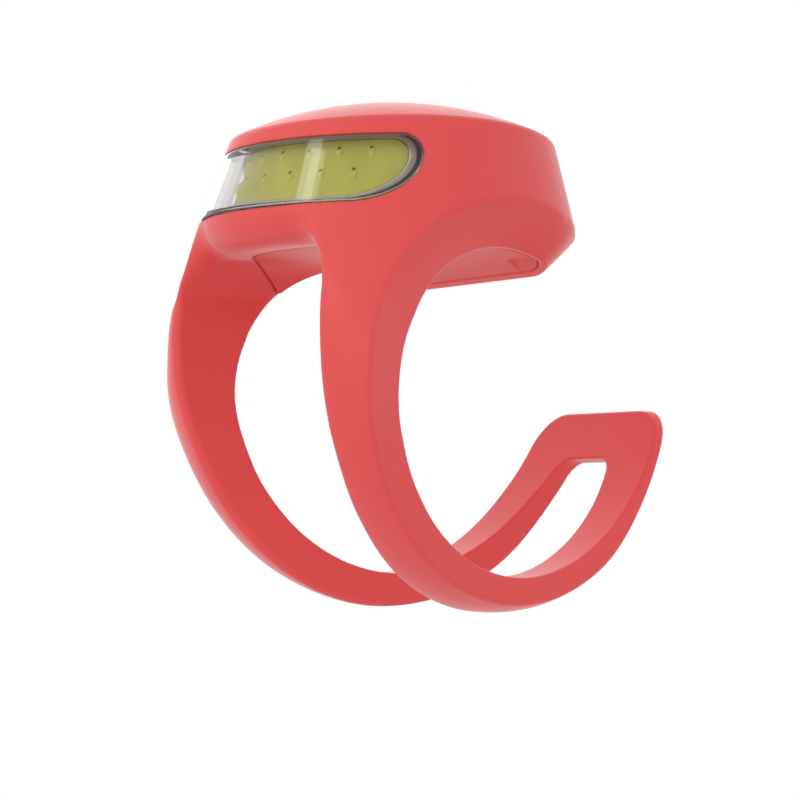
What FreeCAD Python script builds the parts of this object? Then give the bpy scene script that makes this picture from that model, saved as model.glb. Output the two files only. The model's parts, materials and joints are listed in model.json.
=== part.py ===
import FreeCAD, Part
import Sketcher
import math
import os
import re

# Clip-on silicone bar light.
# Frame: the handlebar's axis is X through the origin, the beam points to -Y and up is +Z.
# Angles round the bar start at the rear (+Y) and pass over the top (90) and the front (180).

Vector = FreeCAD.Vector
doc = FreeCAD.newDocument("bar_light")
sheet = doc.addObject("Spreadsheet::Sheet", "sizes")

SIZES = {
    # handlebar saddle
    "saddle_radius": 15.9,
    "saddle_rear": 8.5,
    "saddle_rear_half_width": 12.8,
    "saddle_crown_half_width": 16.8,
    # outer wall of the head, an oblique cone
    "rim_rise": 12.1,
    "rim_radius": 18.52,
    "wall_centre": -3.79,
    "wall_taper": 0.3,
    "wall_lean": 0.093,
    "wall_foot": 6.0,
    "wall_reach": 37.0,
    # domed top, an arc across the bar swept on an arc along it
    "dome_rise": 4.9,
    "dome_centre": -4.8,
    "dome_side_radius": 46.6,
    "dome_long_radius": 34.5,
    # undercut above the bar
    "crease_depth": 5.3,
    "crease_rear_depth": 6.5,
    "relief_overrun": 2.0,
    "relief_overlap_angle": 4.0,
    "relief_step": 10.0,
    "saddle_corner_angle": 10.0,
    "saddle_corner_inset": 1.3,
    "rear_crease_rise": 4.863,
    "relief_width_step": 3.8,
    "relief_half_width": 19.0,
    "vault_corner": 5.0,
    # silicone and case walls
    "jacket_wall": 2.2,
    "top_skin": 1.8,
    "case_wall": 1.1,
    "case_floor_rise": 3.2,
    "case_floor_thickness": 0.7,
    "case_height": 8.6,
    "case_roof_thickness": 1.2,
    "fit_gap": 0.05,
    # neck of the case, its gasket and the battery cover
    "neck_half_width": 15.0,
    "neck_centre": -4.0,
    "neck_rear": 10.2,
    "neck_corner": 7.0,
    "neck_wall": 1.0,
    "cover_half_width": 15.6,
    "cover_rear": 7.4,
    "cover_corner": 3.0,
    "cover_lip": 0.5,
    "flange_rise": 0.3,
    "flange_thickness": 0.7,
    "gasket_thickness": 0.4,
    "scoop_width": 5.4,
    "scoop_length": 2.6,
    "scoop_depth": 0.9,
    "scoop_place": 12.9,
    "scoop_front": 4.4,
    # window of the lamp
    "window_rise": 0.5,
    "window_height": 7.4,
    "window_middle_angle": 41.0,
    "window_end_angle": 50.0,
    "window_end_reach": 4.9,
    "window_end_top_radius": 2.3,
    "window_sweep_length": 7.9,
    "case_window_inset": 0.2,
    "case_window_end_inset": 0.8,
    "bezel_width": 0.35,
    "bezel_end_width": 0.7,
    "panel_depth": 3.0,
    "panel_thickness": 0.6,
    "die_thickness": 0.35,
    "die_width": 0.7,
    "die_height": 1.0,
    "die_pitch_angle": 11.9,
    "die_columns": 9.0,
    "die_upper_rise": 4.6,
    "die_lower_rise": 2.4,
    "led_board_thickness": 0.8,
    "carrier_thickness": 1.25,
    # switch, board and cells, stacked upwards
    "stack_centre": -2.0,
    "cell_radius": 10.0,
    "cell_height": 3.2,
    "cell_step": 1.1,
    "cell_step_height": 0.5,
    "cell_rise": 1.3,
    "cell_gap": 0.1,
    "holder_wall": 0.8,
    "holder_lift": 0.2,
    "board_drop": 3.4,
    "board_thickness": 0.8,
    "board_radius": 13.5,
    "boss_place": 12.2,
    "boss_radius": 1.9,
    "screw_radius": 0.6,
    "screw_hole_gap": 0.1,
    "screw_head_radius": 1.1,
    "screw_head_height": 0.7,
    "screw_length": 1.9,
    "contact_thickness": 0.25,
    "contact_width": 4.0,
    "contact_length": 9.0,
    "contact_nub_radius": 1.2,
    "switch_width": 5.0,
    "switch_height": 1.6,
    "plunger_radius": 0.85,
    "plunger_rise": 0.5,
    "plunger_stroke": 0.25,
    "plunger_gap": 0.05,
    "press_gap": 0.35,
    "roof_hole_radius": 3.9,
    "post_radius": 1.5,
    "post_pad_radius": 3.5,
    "post_pad_thickness": 0.9,
    "button_radius": 8.4,
    "button_gap": 0.15,
    "chip_width": 3.0,
    "chip_height": 0.8,
    "chip_side": 7.6,
    "passive_length": 1.6,
    "passive_width": 0.8,
    "passive_height": 0.7,
    "passive_pitch": 1.9,
    "passive_rear": 4.2,
    "ribbon_width": 5.0,
    "ribbon_thickness": 0.15,
    "ribbon_overlap": 1.6,
    "ribbon_gap": 0.2,
    "ribbon_slot_gap": 0.2,
    # strap, at six stations round the bar and its tip
    "front_angle": 150.0,
    "front_half_gap": 14.8,
    "front_half_width": 18.1,
    "front_lean": 1.2,
    "shoulder_angle": 172.0,
    "shoulder_half_gap": 14.05,
    "shoulder_half_width": 18.1,
    "shoulder_ridge": 7.5,
    "shoulder_crease": 5.3,
    "shoulder_lean": 1.4,
    "waist_angle": 195.0,
    "waist_half_gap": 13.0,
    "waist_half_width": 17.5,
    "waist_ridge": 5.87,
    "waist_crease": 4.5,
    "waist_lean": 1.0,
    "belly_angle": 240.0,
    "belly_half_gap": 10.9,
    "belly_half_width": 16.1,
    "belly_inner": 17.55,
    "belly_ridge": 4.9,
    "belly_crease": 3.85,
    "belly_lean": 0.4,
    "heel_angle": 300.0,
    "heel_half_gap": 8.1,
    "heel_half_width": 13.6,
    "heel_inner": 21.5,
    "heel_ridge": 3.7,
    "heel_crease": 2.8,
    "heel_lean": 0.1,
    "fork_angle": 344.5,
    "fork_half_gap": 4.3,
    "fork_half_width": 11.95,
    "fork_inner": 25.2,
    "fork_ridge": 2.3,
    "fork_crease": 1.1,
    "fork_lean": 0.3,
    "tip_angle": 357.4,
    "tip_half_width": 11.0,
    "tip_inner": 27.6,
    "tip_ridge": 2.1,
    "tip_crease": 0.9,
    "tip_lean": 0.3,
    "tip_corner": 4.2,
    "fork_overlap_angle": 0.4,
    "fork_step": 4.5,
    "saddle_allowance": 0.3,
    "ridge_bulge": 0.25,
    "section_step": 9.0,
    # flex lines of the strap
    "front_flex_angle": 208.0,
    "under_flex_angle": 262.0,
    "rear_flex_angle": 318.0,
    "flex_relief_angle": 21.0,
    "flex_gap": 0.12,
}

# Heights and radii that follow the sizes above
DERIVED = {
    "lip_height": "sqrt(saddle_radius ^ 2 - saddle_rear ^ 2)",
    "rim_height": "saddle_radius + rim_rise",
    "dome_top": "rim_height + dome_rise",
    "crease_radius": "saddle_radius + crease_depth",
    "crease_rear_radius": "saddle_radius + crease_rear_depth",
    "rear_crease_height": "lip_height + rear_crease_rise",
    "flange_height": "saddle_radius + flange_rise",
    "case_floor": "flange_height + case_floor_rise",
    "case_roof": "case_floor + case_height",
    "window_bottom": "case_floor + window_rise",
    "window_top": "window_bottom + window_height",
    "die_upper_row": "window_bottom + die_upper_rise",
    "die_lower_row": "window_bottom + die_lower_rise",
    "cell_bottom": "flange_height + cell_rise",
    "board_bottom": "case_roof - board_drop",
}

cells = [(alias, str(value)) for alias, value in SIZES.items()]
cells += [(alias, "=" + text) for alias, text in DERIVED.items()]
for row, (alias, content) in enumerate(cells, start=1):
    sheet.set("A%d" % row, alias)
    sheet.setAlias("B%d" % row, alias)
    sheet.set("B%d" % row, content)
doc.recompute()


def size(alias):
    return float(sheet.get(alias))


def formula(text):
    """An expression in which each size's name is written with its sheet."""
    def with_sheet(match):
        word = match.group()
        return "sizes." + word if word in SIZES or word in DERIVED else word
    return re.sub(r"[a-z_]+", with_sheet, text)


REACH = 80.0


# Document helpers

def bind(thing, **texts):
    for name, text in texts.items():
        thing.setExpression(name, formula(text))
    return thing


def put(thing, across="0", along="0", above="0"):
    for axis, text in (("x", across), ("y", along), ("z", above)):
        thing.setExpression("Placement.Base." + axis, formula(text))
    return thing


def cylinder(name, radius, height, **place):
    thing = doc.addObject("Part::Cylinder", name)
    return put(bind(thing, Radius=radius, Height=height), **place)


def box(name, length, width, height, **place):
    thing = doc.addObject("Part::Box", name)
    return put(bind(thing, Length=length, Width=width, Height=height), **place)


def centred_box(name, length, width, height, along, bottom, across="0"):
    """A block centred on a point of the plan, standing on a height."""
    corner = {
        "across": "%s - (%s) / 2" % (across, length),
        "along": "%s - (%s) / 2" % (along, width),
        "above": bottom,
    }
    return box(name, length, width, height, **corner)


def cut(name, base, tool):
    thing = doc.addObject("Part::Cut", name)
    thing.Base = base
    thing.Tool = tool
    return thing


def cut_in_turn(name, base, *tools):
    """Cuts made one after another, the last one under the name given."""
    for number, tool in enumerate(tools[:-1], start=1):
        base = cut("%s_cut_%d" % (name, number), base, tool)
    return cut(name, base, tools[-1])


def fuse(name, *parts):
    thing = doc.addObject("Part::MultiFuse", name)
    thing.Shapes = list(parts)
    return thing


def common(name, *parts):
    thing = doc.addObject("Part::MultiCommon", name)
    thing.Shapes = list(parts)
    return thing


def mirrored(name, source):
    thing = doc.addObject("Part::Mirroring", name)
    thing.Source = source
    thing.Normal = Vector(1, 0, 0)
    return thing


def group(name, *parts):
    thing = doc.addObject("Part::Compound", name)
    thing.Links = list(parts)
    return thing


def shape_feature(name, shape):
    thing = doc.addObject("Part::Feature", name)
    thing.Shape = shape
    return thing


def origin_plane(body, role):
    return [plane for plane in body.Origin.OriginFeatures if plane.Role == role][0]


def sketch_in(body, role, name, **offset):
    """A sketch on one of the body's own planes, moved by expressions for x, y or z."""
    sketch = body.newObject("Sketcher::SketchObject", name)
    sketch.AttachmentSupport = [(origin_plane(body, role), "")]
    sketch.MapMode = "FlatFace"
    for axis, text in offset.items():
        sketch.setExpression("AttachmentOffset.Base." + axis, formula(text))
    return sketch


def driven(sketch, text, *constraint):
    """A constraint whose value is an expression."""
    row = sketch.addConstraint(Sketcher.Constraint(*constraint))
    sketch.setExpression("Constraints[%d]" % row, formula(text))


def circle(sketch, radius):
    curve = sketch.addGeometry(Part.Circle(Vector(0, 0, 0), Vector(0, 0, 1), 10), False)
    sketch.addConstraint(Sketcher.Constraint("Coincident", curve, 3, -1, 1))
    driven(sketch, radius, "Radius", curve, 10)


def rounded_tab(sketch, half_width, rear, corner):
    """A half circle about the sketch's origin, carried back to a straight rear edge."""
    arc_at = Part.ArcOfCircle
    up = Vector(0, 0, 1)
    half_turn = math.pi
    front = arc_at(Part.Circle(Vector(0, 0, 0), up, 15), half_turn, 2 * half_turn)
    right = Part.LineSegment(Vector(15, 0, 0), Vector(15, 8, 0))
    right_corner = arc_at(Part.Circle(Vector(12, 8, 0), up, 3), 0, half_turn / 2)
    back = Part.LineSegment(Vector(12, 11, 0), Vector(-12, 11, 0))
    left_corner = arc_at(Part.Circle(Vector(-12, 8, 0), up, 3), half_turn / 2, half_turn)
    left = Part.LineSegment(Vector(-15, 8, 0), Vector(-15, 0, 0))
    for curve in (front, right, right_corner, back, left_corner, left):
        sketch.addGeometry(curve, False)
    for curve in range(6):
        following = (curve + 1) % 6
        sketch.addConstraint(Sketcher.Constraint("Tangent", curve, 2, following, 1))
    sketch.addConstraint(Sketcher.Constraint("Coincident", 0, 3, -1, 1))
    sketch.addConstraint(Sketcher.Constraint("Vertical", 1))
    sketch.addConstraint(Sketcher.Constraint("Vertical", 5))
    sketch.addConstraint(Sketcher.Constraint("Horizontal", 3))
    sketch.addConstraint(Sketcher.Constraint("Equal", 2, 4))
    driven(sketch, half_width, "Radius", 0, 15)
    driven(sketch, corner, "Radius", 2, 3)
    driven(sketch, rear, "DistanceY", -1, 1, 3, 1, 11)


def pad(body, sketch, length):
    feature = body.newObject("PartDesign::Pad", sketch.Name + "_pad")
    feature.Profile = sketch
    return bind(feature, Length=length)


def tab_prism(name, half_width, rear, corner, bottom, top):
    """A pad of the rounded tab, from one height to another. The rear is in the part's frame."""
    body = doc.addObject("PartDesign::Body", name)
    sketch = sketch_in(body, "XY_Plane", name + "_outline", y="neck_centre", z=bottom)
    rounded_tab(sketch, half_width, "%s - neck_centre" % rear, corner)
    pad(body, sketch, "%s - (%s)" % (top, bottom))
    return body


def wall_cone(name, inset="0", foot="wall_foot", reach="wall_reach"):
    """The head's outer wall, or one parallel to it inside, as a loft of two circles."""
    body = doc.addObject("PartDesign::Body", name)
    rings = []
    for end, height in (("foot", foot), ("reach", reach)):
        above = "(%s - rim_height)" % height
        ring = sketch_in(body, "XY_Plane", "%s_%s" % (name, end),
                         y="wall_centre + wall_lean * " + above, z=height)
        circle(ring, "rim_radius - wall_taper * %s - (%s)" % (above, inset))
        rings.append(ring)
    loft = body.newObject("PartDesign::AdditiveLoft", name + "_loft")
    loft.Profile = rings[0]
    loft.Sections = [rings[1]]
    return body


def dome_form(name, inset):
    """Everything under the domed top, or under a surface parallel to it."""
    body = doc.addObject("PartDesign::Body", name)
    sketch = sketch_in(body, "XZ_Plane", name + "_profile",
                       y="dome_top - dome_long_radius", z="-dome_centre")
    half = 26.0
    side = math.radians(56)
    crown = Part.ArcOfCircle(Part.Circle(Vector(0, -12, 0), Vector(0, 0, 1), 46),
                             side, math.pi - side)
    ends = [crown.EndPoint, crown.StartPoint]
    left = Part.LineSegment(ends[0], Vector(-half, 0, 0))
    base = Part.LineSegment(Vector(-half, 0, 0), Vector(half, 0, 0))
    right = Part.LineSegment(Vector(half, 0, 0), ends[1])
    for curve in (crown, left, base, right):
        sketch.addGeometry(curve, False)
    for curve in range(4):
        sketch.addConstraint(Sketcher.Constraint("Coincident", curve, 2, (curve + 1) % 4, 1))
    sketch.addConstraint(Sketcher.Constraint("Vertical", 1))
    sketch.addConstraint(Sketcher.Constraint("Vertical", 3))
    sketch.addConstraint(Sketcher.Constraint("PointOnObject", 0, 3, -2))
    sketch.addConstraint(Sketcher.Constraint("PointOnObject", 1, 2, -1))
    sketch.addConstraint(Sketcher.Constraint("PointOnObject", 2, 2, -1))
    driven(sketch, "dome_side_radius - (%s)" % inset, "Radius", 0, 46)
    driven(sketch, "dome_long_radius - dome_side_radius", "DistanceY", -1, 1, 0, 3, -12)
    driven(sketch, "1.4 * rim_radius", "DistanceX", -1, 1, 2, 2, half)
    turn = body.newObject("PartDesign::Revolution", name + "_turn")
    turn.Profile = sketch
    turn.ReferenceAxis = (sketch, ["H_Axis"])
    turn.Angle = 360
    return body


# Curves of the strap, in the plane square to the bar

def round_bar(angle, radius, across=0.0):
    turn = math.radians(angle)
    return Vector(across, radius * math.cos(turn), radius * math.sin(turn))


def wall_at(height):
    """Radius and centre of the head's outer wall at one height."""
    above = height - size("rim_height")
    radius = size("rim_radius") - size("wall_taper") * above
    return radius, size("wall_centre") + size("wall_lean") * above


def wall_reach(angle, across):
    """Distance from the bar's axis to the outer wall, at one angle and place along the bar."""
    low, high = size("saddle_radius"), 3 * size("saddle_radius")
    for _ in range(40):
        middle = (low + high) / 2
        point = round_bar(angle, middle)
        radius, centre = wall_at(point.z)
        if math.hypot(across, point.y - centre) < radius:
            low = middle
        else:
            high = middle
    return middle


def wall_width(angle, radius):
    """Half width of the outer wall, at one angle and distance from the bar's axis."""
    point = round_bar(angle, radius)
    wall_radius, centre = wall_at(point.z)
    return math.sqrt(max(wall_radius ** 2 - (point.y - centre) ** 2, 0.01))


def slopes_of(places, values):
    steps = [(values[i + 1] - values[i]) / (places[i + 1] - places[i])
             for i in range(len(places) - 1)]
    slopes = [steps[0]]
    for before, after in zip(steps, steps[1:]):
        same_way = before * after > 0
        slopes.append(2 * before * after / (before + after) if same_way else 0.0)
    slopes.append(steps[-1])
    return slopes


def flowing(place, places, values):
    """A smooth curve through a few values, which doesn't overshoot them."""
    slopes = slopes_of(places, values)
    index = 0
    while index < len(places) - 2 and place > places[index + 1]:
        index += 1
    span = places[index + 1] - places[index]
    share = (place - places[index]) / span
    start, end = values[index], values[index + 1]
    rise = 3 * share ** 2 - 2 * share ** 3
    leave = share * (1 - share) ** 2 * span * slopes[index]
    arrive = share ** 2 * (share - 1) * span * slopes[index + 1]
    return start + (end - start) * rise + leave + arrive


STATIONS = ["front", "shoulder", "waist", "belly", "heel", "fork", "tip"]


def station_values(kind, first):
    named = [station + "_" + kind for station in STATIONS[len(first):]]
    return list(first) + [size(name) for name in named]


def along_strap(angle, kind, *first):
    places = [size(station + "_angle") for station in STATIONS]
    return flowing(angle, places, station_values(kind, first))


def strap_inner(angle):
    if angle <= size("waist_angle"):
        return size("saddle_radius")
    places = [size(station + "_angle") for station in STATIONS]
    round_part = [size("saddle_radius")] * 3
    return flowing(angle, places, round_part + [size(s + "_inner") for s in STATIONS[3:]])


def front_crease():
    angle = size("front_angle")
    across = size("front_half_width") + size("front_lean")
    return wall_reach(angle, across) - size("saddle_radius")


def front_ridge():
    return wall_reach(size("front_angle"), size("front_half_gap")) - size("saddle_radius")


def strap_section(angle, half_gap=None):
    """Corners of a band's section: gap side in, outer side in, crease, bulge and ridge."""
    inner = strap_inner(angle)
    half_width = along_strap(angle, "half_width")
    crease = along_strap(angle, "crease", front_crease())
    ridge = along_strap(angle, "ridge", front_ridge())
    if half_gap is None:
        places = [size(station + "_angle") for station in STATIONS[:-1]]
        gaps = [size(station + "_half_gap") for station in STATIONS[:-1]]
        half_gap = flowing(angle, places, gaps)
    lean = along_strap(angle, "lean") / crease
    left_of_saddle = (size("belly_angle") - angle) / (size("belly_angle") - size("waist_angle"))
    depth = size("saddle_allowance") * min(max(left_of_saddle, 0.0), 1.0)
    corners = [
        round_bar(angle, inner - depth, half_gap),
        round_bar(angle, inner - depth, half_width - lean * depth),
        round_bar(angle, inner + crease, half_width + lean * crease),
        round_bar(angle, inner + ridge, half_gap),
    ]
    middle = (corners[2] + corners[3]) * 0.5
    outwards = (round_bar(angle, 1.0) + Vector(1, 0, 0)).normalize()
    bulge = middle + outwards * size("ridge_bulge")
    return corners, bulge


def strap_wire(angle):
    (inner_gap, inner_side, crease, ridge), bulge = strap_section(angle)
    return Part.Wire([
        Part.makeLine(inner_gap, inner_side),
        Part.makeLine(inner_side, crease),
        Part.Arc(crease, bulge, ridge).toShape(),
        Part.makeLine(ridge, inner_gap),
    ])


def evenly(first, last, step):
    count = max(1, round((last - first) / step))
    return [first + (last - first) * i / count for i in range(count + 1)]


def strap_band(first, last):
    angles = evenly(first, last, size("section_step"))
    return Part.makeLoft([strap_wire(angle) for angle in angles], True, False)


def across_x(shape):
    return shape.mirror(Vector(0, 0, 0), Vector(1, 0, 0))


def tip_wire(angle):
    corners, bulge = strap_section(angle, half_gap=0.0)
    inner = corners[1]
    crease = corners[2]
    ridge_across = min(size("fork_half_gap"), 0.6 * crease.x)
    radius = math.hypot(corners[3].y, corners[3].z)
    ridge = round_bar(angle, radius, ridge_across)
    half = [inner, crease, ridge]
    other = [Vector(-point.x, point.y, point.z) for point in reversed(half)]
    return Part.makePolygon(half + other + [inner])


def strap_tip_plate():
    """The plate that joins both bands, with its two outer corners rounded."""
    first = size("fork_angle") - size("fork_overlap_angle")
    last = size("tip_angle")
    angles = evenly(first, last, size("fork_step"))
    plate = Part.makeLoft([tip_wire(angle) for angle in angles], True, False)
    corner = tip_corner_tool()
    return plate.cut(corner).cut(across_x(corner))


def tip_corner_tool():
    """What lies outside a round corner between the tip's end and its side."""
    last = size("tip_angle")
    outwards = round_bar(last, 1.0)
    onwards = Vector(0, -outwards.z, outwards.y)
    before = round_bar(size("fork_angle"), size("tip_inner"))
    end = round_bar(last, size("tip_inner"))
    slope = (size("fork_half_width") - size("tip_half_width")) / (end - before).Length
    radius = size("tip_corner")
    lean = math.hypot(1.0, slope)
    side = size("tip_half_width") + size("tip_lean")
    centre = end - onwards * radius
    centre.x = side + radius * (slope - lean)
    corner = Vector(side, end.y, end.z)
    end_side = Vector(centre.x, end.y, end.z)
    band_side = centre + (Vector(1, 0, 0) + onwards * slope) * (radius / lean)
    spread = 1.5
    outer = [centre + (point - centre) * spread for point in (end_side, corner, band_side)]
    low = outwards * (-size("tip_inner") / 2)
    outline = [point + low for point in [centre] + outer + [centre]]
    block = Part.Face(Part.makePolygon(outline)).extrude(outwards * size("tip_inner"))
    round_part = Part.makeCylinder(radius, size("tip_inner"), centre + low, outwards)
    return block.cut(round_part)


# Flex lines: a round knuckle in a round socket, between flanks that stand clear

def flex_line(angle):
    """Place and radius of a strap joint's knuckle."""
    thickness = along_strap(angle, "ridge", front_ridge())
    return round_bar(angle, strap_inner(angle) + thickness / 2), thickness / 2


def half_space(angle, tilt, beyond):
    """Space beyond the radial plane at an angle, or before it, turned about the flex line."""
    centre, _ = flex_line(angle)
    block = Part.makeBox(REACH, REACH, 2 * REACH, Vector(-REACH / 2, 0, -REACH))
    if not beyond:
        block.translate(Vector(0, -REACH, 0))
    block.rotate(Vector(0, 0, 0), Vector(1, 0, 0), angle + 90 + tilt)
    block.translate(centre)
    return block


def knuckle(angle, extra=0.0):
    centre, radius = flex_line(angle)
    return Part.makeCylinder(radius + extra, REACH, centre - Vector(REACH / 2, 0, 0),
                             Vector(1, 0, 0))


def end_before(shape, angle):
    """The stretch that ends at a flex line in a socket."""
    relief = size("flex_relief_angle")
    kept = shape.common(half_space(angle, -relief, False))
    kept = kept.common(half_space(angle, relief, False))
    return kept.cut(knuckle(angle, size("flex_gap")))


def begin_after(shape, angle):
    """The stretch that begins at a flex line with a knuckle."""
    beyond = shape.common(half_space(angle, 0.0, True))
    pin = shape.common(knuckle(angle))
    return beyond.fuse(pin).removeSplitter()


# Cutting tools of the head

def saddle_tool():
    bar = cylinder("bar_space", "saddle_radius", "6 * saddle_radius",
                   across="-3 * saddle_radius")
    bar.Placement = FreeCAD.Placement(Vector(0, 0, 0), FreeCAD.Rotation(Vector(0, 1, 0), 90))
    return put(bar, across="-3 * saddle_radius")


def vault_tool():
    """The gap between the bands at the front, with rounded upper corners."""
    width = "2 * front_half_gap"
    forward = "4 * saddle_radius"
    middle = "-2 * saddle_radius"
    parts = [
        centred_box("vault_high", width + " - 2 * vault_corner", forward, "3 * saddle_radius",
                    middle, middle),
        centred_box("vault_wide", width, forward, "3 * saddle_radius - vault_corner",
                    middle, middle),
    ]
    for side, sign in (("left", "-"), ("right", "")):
        corner = cylinder("vault_corner_" + side, "vault_corner", forward)
        corner.Placement.Rotation = FreeCAD.Rotation(Vector(1, 0, 0), 90)
        put(corner, across=sign + "(front_half_gap - vault_corner)",
            above="saddle_radius - vault_corner")
        parts.append(corner)
    return fuse("vault", *parts)


def relief_wire(angle, crease_radius):
    """Section of what is cut off above the saddle's side edge, past the wall's crease."""
    inner = size("saddle_radius")
    half_width = saddle_half_width(angle)
    slope = (wall_width(angle, crease_radius) - half_width) / (crease_radius - inner)
    overrun = size("relief_overrun")
    low = inner - overrun
    high = crease_radius + overrun
    far = size("wall_reach")
    outline = [(low, half_width - overrun * slope), (high, half_width + (high - inner) * slope),
               (high, far), (low, far)]
    points = [round_bar(angle, radius, across) for radius, across in outline]
    return Part.makePolygon(points + points[:1])


def rear_angle():
    return math.degrees(math.acos(size("saddle_rear") / size("saddle_radius")))


def saddle_half_width(angle):
    crown = size("saddle_crown_half_width")
    places = [rear_angle(), rear_angle() + size("saddle_corner_angle"), 90.0,
              size("front_angle")]
    values = [size("saddle_rear_half_width"), crown - size("saddle_corner_inset"), crown,
              size("front_half_width")]
    return flowing(angle, places, values)


def relief_tool():
    """One side's undercut, from the front of the saddle past its rear corner."""
    wires = []
    rear = rear_angle()
    front = size("front_angle")
    overlap = size("relief_overlap_angle")
    for angle in evenly(rear - overlap, front + overlap, size("relief_step")):
        crease = flowing(angle, [rear, rear + size("saddle_corner_angle"), front],
                         [size("crease_rear_radius"), size("crease_radius"),
                          size("saddle_radius") + front_crease()])
        wires.append(relief_wire(angle, crease))
    return Part.makeLoft(wires, True, False)


def rear_relief_tool():
    """What is cut off behind the saddle's straight lip, up to a level crease on the wall."""
    lip_back = size("saddle_rear")
    lip_up = size("lip_height")
    crease_up = size("rear_crease_height")
    radius, centre = wall_at(crease_up)
    widest = size("relief_half_width")
    overrun = size("relief_overrun")
    wires = []
    for across in evenly(-widest, widest, size("relief_width_step")):
        crease_back = centre + math.sqrt(radius ** 2 - across ** 2)
        run = max((crease_back - lip_back) / (crease_up - lip_up), 0.0)
        low = lip_up - overrun
        high = crease_up + 2 * overrun
        inner_back = lip_back - overrun * run
        outline = [(inner_back, low), (lip_back + (high - lip_up) * run, high),
                   (REACH, high), (REACH, 0.0), (inner_back, 0.0)]
        points = [Vector(across, back, up) for back, up in outline]
        wires.append(Part.makePolygon(points + points[:1]))
    return shape_feature("rear_undercut", Part.makeLoft(wires, True, False))


def below_front_tool():
    """Everything below the radial plane where the bands begin."""
    block = Part.makeBox(REACH, REACH, 2 * REACH, Vector(-REACH / 2, 0, -REACH))
    block.rotate(Vector(0, 0, 0), Vector(1, 0, 0), size("front_angle") + 90)
    return shape_feature("below_the_head", block)


# Lamp window: an opening in the wall with swept ends, made smaller by an inset for what is inside

def window_end(inset, end_inset):
    """The window's right end, drawn flat at its own angle and cut through the wall."""
    bottom = size("window_bottom") + inset
    top = size("window_top") - inset
    reach = size("window_end_reach") - end_inset
    sweep = size("window_sweep_length") - inset
    corner = max(size("window_end_top_radius") - inset, 0.3)
    middle = top - corner
    start = Vector(reach - sweep, 0, bottom)
    swept = []
    for step in range(7):
        turn = math.radians(15 * step)
        swept.append(Vector(start.x + sweep * math.sin(turn), 0,
                            middle - (middle - bottom) * math.cos(turn)))
    sweep_curve = Part.BSplineCurve()
    sweep_curve.interpolate(swept)
    low = sweep_curve.toShape()
    half_way = corner * math.sqrt(0.5)
    high = Part.Arc(Vector(reach, 0, middle),
                    Vector(reach - corner + half_way, 0, middle + half_way),
                    Vector(reach - corner, 0, top)).toShape()
    roof = Part.makeLine(Vector(reach - corner, 0, top), Vector(start.x, 0, top))
    wall = Part.makeLine(Vector(start.x, 0, top), start)
    face = Part.Face(Part.Wire([low, high, roof, wall]))
    prism = face.extrude(Vector(0, -REACH / 2, 0))
    prism.rotate(Vector(0, 0, 0), Vector(0, 0, 1), size("window_end_angle"))
    prism.translate(Vector(0, size("wall_centre"), 0))
    return prism


def window_tool(name, inset, end_inset):
    bottom = size("window_bottom") + inset
    height = size("window_top") - inset - bottom
    angle = size("window_middle_angle")
    middle = Part.makeCylinder(REACH / 2, height, Vector(0, size("wall_centre"), bottom),
                               Vector(0, 0, 1), 2 * angle)
    middle.rotate(Vector(0, size("wall_centre"), 0), Vector(0, 0, 1), -90 - angle)
    end = window_end(inset, end_inset)
    return shape_feature(name, middle.fuse([end, across_x(end)]))


def wall_shell(name, outer_inset, inner_inset):
    outer = wall_cone(name + "_outside", outer_inset)
    inner = wall_cone(name + "_inside", inner_inset)
    return cut(name + "_shell", outer, inner)


# Tools that several pieces share
saddle = saddle_tool()
vault = vault_tool()


def side_reliefs(name, inwards=0.0):
    """The undercuts of both sides, moved towards the middle."""
    right = relief_tool()
    right.translate(Vector(-inwards, 0, 0))
    return [shape_feature(name + "_right", right), shape_feature(name + "_left", across_x(right))]


undercuts = side_reliefs("undercut")
rear_undercut = rear_relief_tool()
below_front = below_front_tool()
head_wall = wall_cone("head_wall")
head_dome = dome_form("head_dome", "0")
skin_dome = dome_form("skin_dome", "top_skin")
button_axis = cylinder("button_well", "button_radius + button_gap", "wall_reach - case_roof",
                       along="dome_centre", above="case_roof")
lens_window = window_tool("lens_window", 0.0, 0.0)

# Case: a round cup under the dome with a narrower neck that the battery cover closes
NECK_TOP = "case_floor + case_floor_thickness"
NECK_BOTTOM = "flange_height + flange_thickness + gasket_thickness"
case_cup = wall_cone("case_cup", "jacket_wall", "case_floor", "case_roof")
case_neck = tab_prism("case_neck", "neck_half_width", "neck_rear", "neck_corner",
                      NECK_BOTTOM, "case_floor")
cup_room = wall_cone("cup_room", "jacket_wall + case_wall", NECK_TOP,
                     "case_roof - case_roof_thickness")
neck_room = tab_prism("neck_room", "neck_half_width - neck_wall", "neck_rear - neck_wall",
                      "neck_corner - neck_wall", NECK_BOTTOM, NECK_TOP)
roof_hole = cylinder("roof_hole", "roof_hole_radius", "3 * case_roof_thickness",
                     along="dome_centre", above="case_roof - 2 * case_roof_thickness")
case_window = window_tool("case_window", size("case_window_inset"),
                          size("case_window_end_inset"))
case_outside = common("case_outside", fuse("case_solid", case_cup, case_neck), skin_dome)
case_room = fuse("case_room", cup_room, neck_room, roof_hole)
window_room = cut("window_room", case_window,
                  wall_cone("window_depth", "panel_depth + panel_thickness + fit_gap"))
case_walls = cut("case_walls", cut("case_hollow", case_outside, case_room), window_room)

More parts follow.
